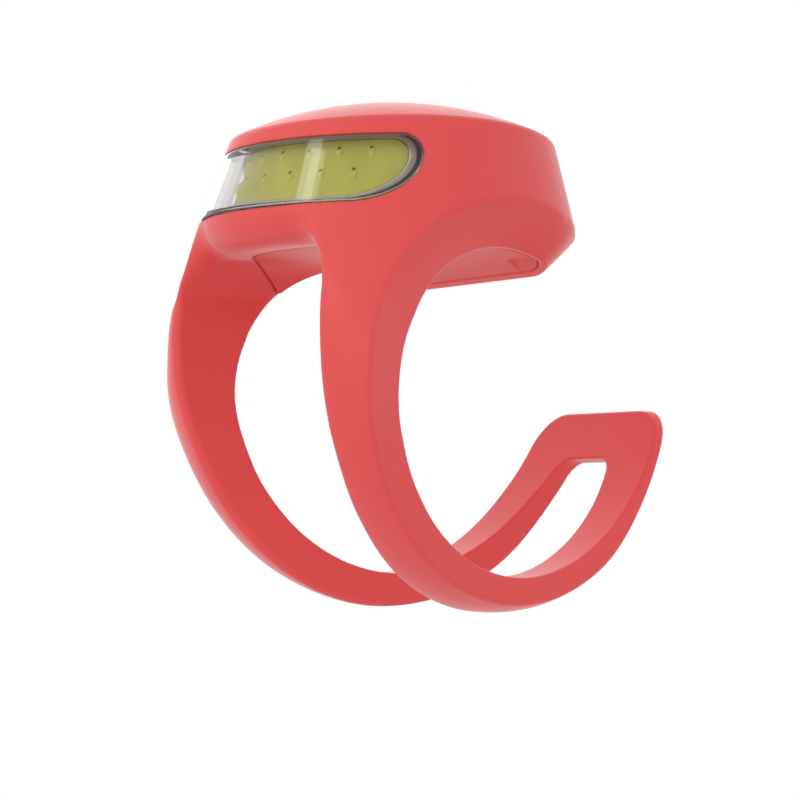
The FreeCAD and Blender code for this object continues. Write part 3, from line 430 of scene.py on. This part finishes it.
LENS_GAP = 0.07
PANEL_DEPTH, PANEL_THICKNESS = 3.0, 0.6
PANEL_GAP, PANEL_END_GAP = 0.03, 0.05
RIM_INSET, RIM_END_INSET, RIM_GAP = 0.22, 0.9, 0.1
PANEL_INSET, PANEL_END_INSET = 0.55, 1.75
RIM_LIP = 0.22
LIP_ROUND = 0.08


def lens(x, y, z):
    depth = wall(x, y, z)
    shell = meet(depth, -depth - SKIN, LENS_ROUND)
    return meet(window(x, y, z, LENS_GAP, LENS_GAP), shell, SEAT_ROUND)


def rim(x, y, z):
    depth = wall(x, y, z)
    shell = meet(depth + SKIN + RIM_GAP, -depth - PANEL_DEPTH - PANEL_THICKNESS, CRISP)
    ring = without(window(x, y, z, RIM_INSET, RIM_END_INSET),
                   window(x, y, z, PANEL_INSET, PANEL_END_INSET), LIP_ROUND)
    return meet(shell, ring, CRISP)


BUMP_PITCH = math.radians(11.9)
BUMP_ROWS = ((25.4, 0.0), (23.0, 0.5))
BUMP_WIDTH, BUMP_HEIGHT, BUMP_DEPTH = 0.42, 0.68, 0.42
BUMP_SINK, BUMP_FOOT = 0.05, 0.12
LAST_BUMP = 4


def bumps(x, y, z):
    """Place within the nearest diode bump: along the row, up and out, in bump sizes."""
    turn = np.arctan2(x, WALL_CENTRE - y)
    away = np.hypot(x, y - WALL_CENTRE)
    out = (wall(x, y, z) + PANEL_DEPTH + BUMP_SINK) / BUMP_DEPTH
    best = None
    for height, shift in BUMP_ROWS:
        count = turn / BUMP_PITCH - shift
        nearest = np.clip(np.round(count), -LAST_BUMP, LAST_BUMP - 2 * shift)
        along = (count - nearest) * BUMP_PITCH * away / BUMP_WIDTH
        up = (z - height) / BUMP_HEIGHT
        size = np.sqrt(along**2 + up**2 + out**2)
        if best is None:
            best = (size, along, up)
        else:
            nearer = size < best[0]
            best = tuple(np.where(nearer, a, b) for a, b in zip((size, along, up), best))
    return best


def panel(x, y, z):
    depth = wall(x, y, z)
    shell = meet(depth + PANEL_DEPTH, -depth - PANEL_DEPTH - PANEL_THICKNESS, CRISP)
    outline = window(x, y, z, PANEL_INSET + PANEL_GAP, PANEL_END_INSET + PANEL_END_GAP)
    size, _, _ = bumps(x, y, z)
    return either(meet(shell, outline, CRISP), (size - 1) * BUMP_WIDTH, BUMP_FOOT)


# Meshes from fields

# How many layers of the grid are worked out at a time, to save memory
SLAB = 6


def grid_values(field, axes):
    values = np.empty([len(axis) for axis in axes], np.float32)
    for first in range(0, len(axes[0]), SLAB):
        part = np.meshgrid(axes[0][first:first + SLAB], axes[1], axes[2], indexing="ij")
        values[first:first + SLAB] = field(*part)
    return values


CORNERS = [(i, j, k) for i in (0, 1) for j in (0, 1) for k in (0, 1)]
EDGES = [(a, b) for a in CORNERS for b in CORNERS
         if sum(b) - sum(a) == 1 and sum(abs(q - p) for p, q in zip(a, b)) == 1]


def surface_net(values):
    """One point in each cell that the surface crosses, and the quads between them."""
    inside = values < 0
    shape = [n - 1 for n in values.shape]
    count = np.zeros(shape, np.uint8)
    for i, j, k in CORNERS:
        count += inside[i:i + shape[0], j:j + shape[1], k:k + shape[2]]
    cells = np.argwhere((count > 0) & (count < 8))
    number = np.full(shape, -1, np.int64)
    number[tuple(cells.T)] = np.arange(len(cells))
    total = np.zeros((len(cells), 3))
    crossings = np.zeros(len(cells))
    for a, b in EDGES:
        start = values[tuple((cells + a).T)].astype(float)
        end = values[tuple((cells + b).T)].astype(float)
        crossed = (start < 0) != (end < 0)
        share = np.where(crossed, start / np.where(crossed, start - end, 1.0), 0.0)
        point = cells + np.array(a) + share[:, None] * (np.array(b) - np.array(a))
        total += point * crossed[:, None]
        crossings += crossed
    points = total / crossings[:, None]
    quads = []
    for axis in range(3):
        one, two = (axis + 1) % 3, (axis + 2) % 3
        low = [slice(1, -1)] * 3
        low[axis] = slice(0, -1)
        high = list(low)
        high[axis] = slice(1, None)
        changes = inside[tuple(low)] != inside[tuple(high)]
        edges = np.argwhere(changes)
        edges[:, one] += 1
        edges[:, two] += 1
        step_one, step_two = np.zeros(3, int), np.zeros(3, int)
        step_one[one], step_two[two] = 1, 1
        around = [edges - step_one - step_two, edges - step_two, edges, edges - step_one]
        quad = np.stack([number[tuple(cell.T)] for cell in around], axis=1)
        outward = inside[tuple(edges.T)]
        quad[~outward] = quad[~outward][:, ::-1]
        quads.append(quad)
    return points, np.concatenate(quads)


GRADIENT_STEP = 0.02
LEAST_SLOPE = 0.05
TINY_LENGTH = 1e-9


def gradient(field, points):
    slopes = np.empty_like(points)
    for axis in range(3):
        shift = np.zeros(3)
        shift[axis] = GRADIENT_STEP
        after, before = points + shift, points - shift
        slopes[:, axis] = (field(*after.T) - field(*before.T)) / (2 * GRADIENT_STEP)
    return slopes


def onto_surface(field, points, limit):
    """Moves the points along the field's slope until they lie on its zero surface."""
    for _ in range(3):
        slopes = gradient(field, points)
        size = np.maximum((slopes**2).sum(axis=1), LEAST_SLOPE)
        move = -field(*points.T)[:, None] * slopes / size[:, None]
        length = np.maximum(np.linalg.norm(move, axis=1), TINY_LENGTH)
        points = points + move * np.minimum(1.0, limit / length)[:, None]
    return points


def normals_of(field, points):
    slopes = gradient(field, points)
    return slopes / np.maximum(np.linalg.norm(slopes, axis=1), TINY_LENGTH)[:, None]


def form_of(field, low, high, step):
    """Points in millimetres and quads over the zero surface of a field."""
    axes = [np.arange(a - 2 * step, b + 3 * step, step) for a, b in zip(low, high)]
    points, quads = surface_net(grid_values(field, axes))
    points = np.array([axis[0] for axis in axes]) + points * step
    return onto_surface(field, points, step), quads


def new_mesh(name, points, quads):
    mesh = bpy.data.meshes.new(name)
    mesh.from_pydata((points * MM).tolist(), [], quads.tolist())
    return mesh


def new_object(name, data):
    thing = bpy.data.objects.new(name, data)
    bpy.context.scene.collection.objects.link(thing)
    return thing


def field_piece(name, field, low, high, step):
    """A smooth closed piece over the zero surface of a field."""
    points, quads = form_of(field, low, high, step)
    mesh = new_mesh(name, points, quads)
    mesh.update()
    mesh.polygons.foreach_set("use_smooth", [True] * len(mesh.polygons))
    mesh.normals_split_custom_set_from_vertices(normals_of(field, points).tolist())
    return new_object(name, mesh)


# The moulding is one mesh, cut square to its bands where it passes from one body to the next

FIRST_CUT, SECOND_CUT, THIRD_CUT = 172.0, 235.0, 290.0
CUT_REACH = 40.0
CUT_TOLERANCE = 1e-8


def strap_angle(point):
    angle = math.degrees(math.atan2(point.z, point.y)) % 360.0
    return angle + 360.0 if angle < FIRST_ANGLE else angle


def onwards_at(angle):
    """The direction along the strap at an angle round the bar."""
    turn = math.radians(angle)
    return Vector((0, -math.sin(turn), math.cos(turn)))


def cut_off(form, cap_layer, angle, side):
    """Cuts the mesh at an angle, keeps what lies on one side of it and closes the cut."""
    near = [f for f in form.faces
            if abs(strap_angle(f.calc_center_median()) - angle) < CUT_REACH]
    geometry = near + list({v for f in near for v in f.verts})
    geometry += list({e for f in near for e in f.edges})
    cut = bmesh.ops.bisect_plane(form, geom=geometry, plane_co=(0, 0, 0),
                                 plane_no=onwards_at(angle), dist=CUT_TOLERANCE)
    rim = [e for e in cut["geom_cut"] if isinstance(e, bmesh.types.BMEdge)]
    away = [f for f in form.faces if strap_angle(f.calc_center_median()) * side < angle * side]
    bmesh.ops.delete(form, geom=away, context="FACES")
    rim = [edge for edge in rim if edge.is_valid and edge.is_boundary]
    caps = bmesh.ops.holes_fill(form, edges=rim, sides=0)["faces"]
    caps = bmesh.ops.triangulate(form, faces=caps)["faces"]
    for face in caps:
        face[cap_layer] = 1


def stretch_of(name, source, field, first=None, last=None):
    """The stretch of the moulding between two angles, with its own smooth normals."""
    form = bmesh.new()
    form.from_mesh(source)
    cap_layer = form.faces.layers.int.new("cap")
    if first is not None:
        cut_off(form, cap_layer, first, 1)
    if last is not None:
        cut_off(form, cap_layer, last, -1)
    bmesh.ops.recalc_face_normals(form, faces=form.faces)
    mesh = bpy.data.meshes.new(name)
    form.to_mesh(mesh)
    form.free()
    points = np.array([v.co for v in mesh.vertices]) / MM
    normals = normals_of(field, points)
    corners = []
    for face in mesh.polygons:
        face.use_smooth = True
        flat = mesh.attributes["cap"].data[face.index].value != 0
        for vertex in face.vertices:
            corners.append(tuple(face.normal) if flat else tuple(normals[vertex]))
    mesh.normals_split_custom_set(corners)
    mesh.attributes.remove(mesh.attributes["cap"])
    return new_object(name, mesh)


# Materials

def linear(red, green, blue):
    """A colour as a display shows it, from 0 to 255, in the renderer's own values."""
    def convert(value):
        value /= 255.0
        return value / 12.92 if value <= 0.04045 else ((value + 0.055) / 1.055) ** 2.4
    return (convert(red), convert(green), convert(blue), 1.0)


def principled(material):
    return material.node_tree.nodes["Principled BSDF"]


def new_material(name, colour, roughness, **sockets):
    material = bpy.data.materials.new(name)
    material.use_nodes = True
    shader = principled(material)
    shader.inputs["Base Color"].default_value = colour
    shader.inputs["Roughness"].default_value = roughness
    for socket, value in sockets.items():
        shader.inputs[socket.replace("_", " ")].default_value = value
    return material


def add(material, kind, **inputs):
    node = material.node_tree.nodes.new(kind)
    for socket, value in inputs.items():
        node.inputs[socket.replace("_", " ")].default_value = value
    return node


def join(material, source, output, target, socket):
    material.node_tree.links.new(source.outputs[output], target.inputs[socket])


def noise(material, scale, detail=3.0):
    where = add(material, "ShaderNodeTexCoord")
    texture = add(material, "ShaderNodeTexNoise", Scale=scale, Detail=detail)
    join(material, where, "Object", texture, "Vector")
    return texture


def bumpy(material, scale, height, detail=3.0):
    """A fine relief, with its height in metres."""
    texture = noise(material, scale, detail)
    bump = add(material, "ShaderNodeBump", Strength=1.0, Distance=height)
    join(material, texture, "Fac", bump, "Height")
    join(material, bump, "Normal", principled(material), "Normal")
    return material


def graded(material, source, output, low, one, high, other):
    """The base colour between two values, by a node's output from low to high."""
    ramp = add(material, "ShaderNodeValToRGB")
    ramp.color_ramp.elements[0].position = low
    ramp.color_ramp.elements[0].color = one
    ramp.color_ramp.elements[1].position = high
    ramp.color_ramp.elements[1].color = other
    join(material, source, output, ramp, "Fac")
    join(material, ramp, "Color", principled(material), "Base Color")
    return material


def mottled(material, scale, one, other):
    """A slow drift of the base colour between two values."""
    return graded(material, noise(material, scale), "Fac", 0.35, one, 0.65, other)


def silicone_material():
    material = new_material("silicone", linear(228, 70, 71), 0.5, Sheen_Weight=0.5,
                            Sheen_Roughness=0.3, Specular_IOR_Level=0.5)
    mottled(material, 60.0, linear(227, 68, 69), linear(229, 72, 73))
    return bumpy(material, 2500.0, 0.000012, 4.0)


def lens_material():
    """Clear plastic, greyer where it is seen on edge, with faint wear in its gloss."""
    clear, grey = linear(236, 234, 230), linear(140, 137, 134)
    material = new_material("clear_lens", clear, 0.02, Transmission_Weight=1.0, IOR=1.45)
    edge = add(material, "ShaderNodeLayerWeight", Blend=0.5)
    graded(material, edge, "Facing", 0.3, clear, 0.85, grey)
    wear = add(material, "ShaderNodeMapRange", To_Min=0.015, To_Max=0.035)
    join(material, noise(material, 400.0), "Fac", wear, "Value")
    join(material, wear, "Result", principled(material), "Roughness")
    return material


def phosphor_material():
    material = new_material("yellow_phosphor", linear(236, 235, 66), 0.45)
    mottled(material, 350.0, linear(230, 228, 58), linear(241, 240, 74))
    return bumpy(material, 900.0, 0.00003)


def plain(name, colour, roughness, **sockets):
    """A moulded or rolled surface with a fine grain."""
    return bumpy(new_material(name, colour, roughness, **sockets), 1500.0, 0.00001)


MATERIALS = {
    "silicone": silicone_material(),
    "clear_lens": lens_material(),
    "silver_trim": plain("silver_trim", linear(205, 205, 203), 0.28, Metallic=1.0),
    "yellow_phosphor": phosphor_material(),
    "led_chip": plain("led_chip", linear(214, 218, 150), 0.3),
    "circuit_board": plain("circuit_board", linear(40, 96, 62), 0.4),
    "white_plastic": plain("white_plastic", linear(222, 222, 218), 0.45),
    "amber_film": plain("amber_film", linear(196, 128, 44), 0.35),
    "black_plastic": plain("black_plastic", linear(38, 38, 40), 0.5),
    "tan_ceramic": plain("tan_ceramic", linear(172, 142, 104), 0.55),
    "zinc_steel": plain("zinc_steel", linear(190, 190, 188), 0.32, Metallic=1.0),
    "cell_steel": plain("cell_steel", linear(200, 200, 198), 0.25, Metallic=1.0),
    "spring_brass": plain("spring_brass", linear(206, 176, 98), 0.3, Metallic=1.0),
    "gasket_rubber": plain("gasket_rubber", linear(40, 40, 40), 0.7),
    "cover_plastic": plain("cover_plastic", linear(224, 72, 70), 0.5),
    "dark_frame": plain("dark_frame", linear(205, 182, 172), 0.5),
    # Painted reflection: white laid on the lower part of the silver frame
    "painted_white_reflection": plain("painted_white_reflection", linear(226, 226, 222), 0.4),
    # Painted glint: bright yellow laid over each diode bump
    "painted_diode_glint": plain("painted_diode_glint", linear(250, 250, 40), 0.25),
    "diode_wire": plain("diode_wire", linear(70, 74, 24), 0.5),
    "red_plastic": plain("red_plastic", linear(170, 40, 34), 0.45),
}


def finish(piece, slot):
    piece.data.materials.clear()
    piece.data.materials.append(MATERIALS[slot])


for subpart in frame["record"]["subparts"]:
    finish(frame["nodes"][subpart["node"]], subpart["material_slot"])


def place(piece, slot, *nodes):
    """Gives a new piece its finish and hides the CAD nodes that it stands for."""
    finish(piece, slot)
    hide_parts(*nodes)


def tint_faces(piece, added_material, chosen):
    """Gives a further material to the faces whose middle the test picks; it lays the painted
    reflection and the painted glint as well as the other tints.
    """
    mesh = piece.data
    mesh.materials.append(MATERIALS[added_material])
    row = len(mesh.materials) - 1
    middles = np.empty(3 * len(mesh.polygons))
    mesh.polygons.foreach_get("center", middles)
    picked = chosen(*(middles.reshape(-1, 3) / MM).T)
    for face in np.flatnonzero(picked):
        mesh.polygons[face].material_index = row


# The frame carries a painted reflection, in white, up to this height and this far across, and
# is dark from that far across on and above that height
PAINTED_REFLECTION_TOP, PAINTED_REFLECTION_END = 22.5, 12.0
DARK_START, DARK_TOP = 6.0, 25.5
# The painted glint over a diode bump and the dark bond of a diode, in sizes of its bump
PAINTED_GLINT_REACH, WIRE_REACH = 1.1, 1.15
WIRE_UP, WIRE_FLATNESS, WIRE_SIZE = 0.62, 1.6, 0.45


# Painted reflection on the frame: its lower part, short of the far end
def painted_reflection_part(x, y, z):
    return (z < PAINTED_REFLECTION_TOP) & (x < PAINTED_REFLECTION_END)


def dark_part(x, y, z):
    """The frame outside its bright inner lip: the top, and the end that turns up."""
    outside = window(x, y, z, PANEL_INSET - RIM_LIP, PANEL_END_INSET - RIM_LIP) > 0
    return (outside & (x > DARK_START)) | (z > DARK_TOP)


# Painted glint: the whole of each diode bump
def painted_glint_part(x, y, z):
    return bumps(x, y, z)[0] < PAINTED_GLINT_REACH


def wire_spots(x, y, z):
    """The small dark bond at the top of each diode bump."""
    size, along, up = bumps(x, y, z)
    spot = np.hypot(along, (up - WIRE_UP) * WIRE_FLATNESS)
    return (size < WIRE_REACH) & (spot < WIRE_SIZE)


# The moulding

STEP = 0.3
MOULDING_BOX = (-21.0, -27.0, -26.0), (21.0, 30.0, 34.0)


def make_moulding():
    points, quads = form_of(jacket, *MOULDING_BOX, STEP)
    mesh = new_mesh("moulding", points, quads)
    skin = stretch_of("head_skin", mesh, jacket, last=FIRST_CUT)
    place(skin, "silicone", "silicone_jacket", "button_dome")
    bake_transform(skin)
    front = stretch_of("front_bands", mesh, jacket, FIRST_CUT, SECOND_CUT)
    place(front, "silicone", "strap_lower_left", "strap_lower_right")
    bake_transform(front)
    under = stretch_of("under_bands", mesh, jacket, SECOND_CUT, THIRD_CUT)
    place(under, "silicone", "strap_rear_left", "strap_rear_right")
    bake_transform(under)
    end = stretch_of("strap_end", mesh, jacket, THIRD_CUT)
    place(end, "silicone", "strap_tip")
    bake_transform(end)
    bpy.data.meshes.remove(mesh)


make_moulding()


# The lens, the lamp and the battery cover

FINE = 0.16
PANEL_STEP, COVER_STEP = FINE - 0.04, FINE + 0.04
LAMP_BOX = (-19, -27, 19), (19, -8, 28)
COVER_BOX = (-16, -20, 12), (16, 12, 17.5)

lens_piece = field_piece("lens_window", lens, *LAMP_BOX, FINE)
place(lens_piece, "clear_lens", "lens_cover")
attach(lens_piece, "root")
rim_piece = field_piece("lamp_rim", rim, *LAMP_BOX, FINE)
place(rim_piece, "silver_trim", "panel_bezel")
# Painted reflection in white on the lower part of the frame
tint_faces(rim_piece, "painted_white_reflection", painted_reflection_part)
tint_faces(rim_piece, "dark_frame", dark_part)
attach(rim_piece, "root")
panel_piece = field_piece("lamp_panel", panel, *LAMP_BOX, PANEL_STEP)
place(panel_piece, "yellow_phosphor", "phosphor_panel")
# Painted glint on the diode bumps
tint_faces(panel_piece, "painted_diode_glint", painted_glint_part)
tint_faces(panel_piece, "diode_wire", wire_spots)
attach(panel_piece, "root")
cover_piece = field_piece("cover_plate", battery_cover, *COVER_BOX, COVER_STEP)
place(cover_piece, "cover_plastic", "battery_cover")
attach(cover_piece, "root")


# Floor, world, lights and camera

def background_rays(tree):
    """One for the rays that show the background: the camera's, reflected and refracted ones."""
    rays = tree.nodes.new("ShaderNodeLightPath")
    seen = rays.outputs["Is Camera Ray"]
    for kind in ("Is Glossy Ray", "Is Transmission Ray"):
        larger = tree.nodes.new("ShaderNodeMath")
        larger.operation = "MAXIMUM"
        tree.links.new(seen, larger.inputs[0])
        tree.links.new(rays.outputs[kind], larger.inputs[1])
        seen = larger.outputs["Value"]
    return seen


FLOOR_HALF, FLOOR_HEIGHT = 3.0, -0.09
AMBIENT = 0.86


def make_floor():
    mesh = bpy.data.meshes.new("floor")
    corners = [(across * FLOOR_HALF, along * FLOOR_HALF, FLOOR_HEIGHT)
               for across, along in ((-1, -1), (1, -1), (1, 1), (-1, 1))]
    mesh.from_pydata(corners, [], [(0, 1, 2, 3)])
    floor = new_object("floor", mesh)
    material = new_material("floor", (0.8, 0.8, 0.8, 1.0), 0.9)
    glow = add(material, "ShaderNodeEmission", Color=(1, 1, 1, 1), Strength=1.0)
    mixed = add(material, "ShaderNodeMixShader")
    tree = material.node_tree
    tree.links.new(background_rays(tree), mixed.inputs["Fac"])
    tree.links.new(principled(material).outputs["BSDF"], mixed.inputs[1])
    tree.links.new(glow.outputs["Emission"], mixed.inputs[2])
    join(material, mixed, "Shader", tree.nodes["Material Output"], "Surface")
    mesh.materials.append(material)


def make_world():
    world = bpy.data.worlds.new("studio")
    world.use_nodes = True
    bpy.context.scene.world = world
    tree = world.node_tree
    sky = tree.nodes["Background"]
    sky.inputs["Color"].default_value = (1.0, 1.0, 1.0, 1.0)
    strength = tree.nodes.new("ShaderNodeMapRange")
    strength.inputs["To Min"].default_value = AMBIENT
    strength.inputs["To Max"].default_value = 1.0
    tree.links.new(background_rays(tree), strength.inputs["Value"])
    tree.links.new(strength.outputs["Result"], sky.inputs["Strength"])


def add_light(name, where, width, height, power):
    """A soft light that looks at the origin, with its sizes in metres and its power in watts."""
    lamp = bpy.data.lights.new(name, "AREA")
    lamp.shape = "RECTANGLE"
    lamp.size = width
    lamp.size_y = height
    lamp.energy = power
    light = new_object(name, lamp)
    light.location = where
    light.rotation_euler = (-Vector(where)).to_track_quat("-Z", "Y").to_euler()


# The photograph's camera: angles in degrees, the distance from the origin in metres, and the
# focal length and the origin's place in the image in pixels
CAMERA_AZIMUTH, CAMERA_ELEVATION, CAMERA_ROLL = 54.28, -2.12, -0.61
CAMERA_DISTANCE = 0.27326
FOCAL_LENGTH = 2408.0
IMAGE_WIDTH = 800.0
ORIGIN_ACROSS, ORIGIN_DOWN = 420.59, 399.38
SENSOR = 36.0
CLIP_START = 0.01


def make_camera():
    azimuth, elevation = math.radians(CAMERA_AZIMUTH), math.radians(CAMERA_ELEVATION)
    roll = math.radians(CAMERA_ROLL)
    back = Vector((math.sin(azimuth) * math.cos(elevation),
                   -math.cos(azimuth) * math.cos(elevation), math.sin(elevation)))
    level = Vector((math.cos(azimuth), math.sin(azimuth), 0.0))
    rise = back.cross(level)
    right = level * math.cos(roll) + rise * math.sin(roll)
    up = rise * math.cos(roll) - level * math.sin(roll)
    scale = CAMERA_DISTANCE / FOCAL_LENGTH
    half = IMAGE_WIDTH / 2
    where = back * CAMERA_DISTANCE - right * ((ORIGIN_ACROSS - half) * scale)
    where += up * ((ORIGIN_DOWN - half) * scale)
    camera = new_object("camera", bpy.data.cameras.new("camera"))
    turned = Matrix((right, up, back)).transposed().to_4x4()
    turned.translation = where
    camera.matrix_world = turned
    camera.data.sensor_width = SENSOR
    camera.data.lens = FOCAL_LENGTH / IMAGE_WIDTH * SENSOR
    camera.data.clip_start = CLIP_START
    bpy.context.scene.camera = camera


make_floor()
make_world()
add_light("key", (-0.06, -0.55, 0.3), 0.1, 0.4, 0.45)
add_light("front", (0.35, -0.65, 0.2), 0.5, 0.5, 0.35)
add_light("rim", (-0.82, 0.4, 0.2), 0.5, 0.8, 2.2)
make_camera()
bpy.context.scene.view_settings.view_transform = "Standard"
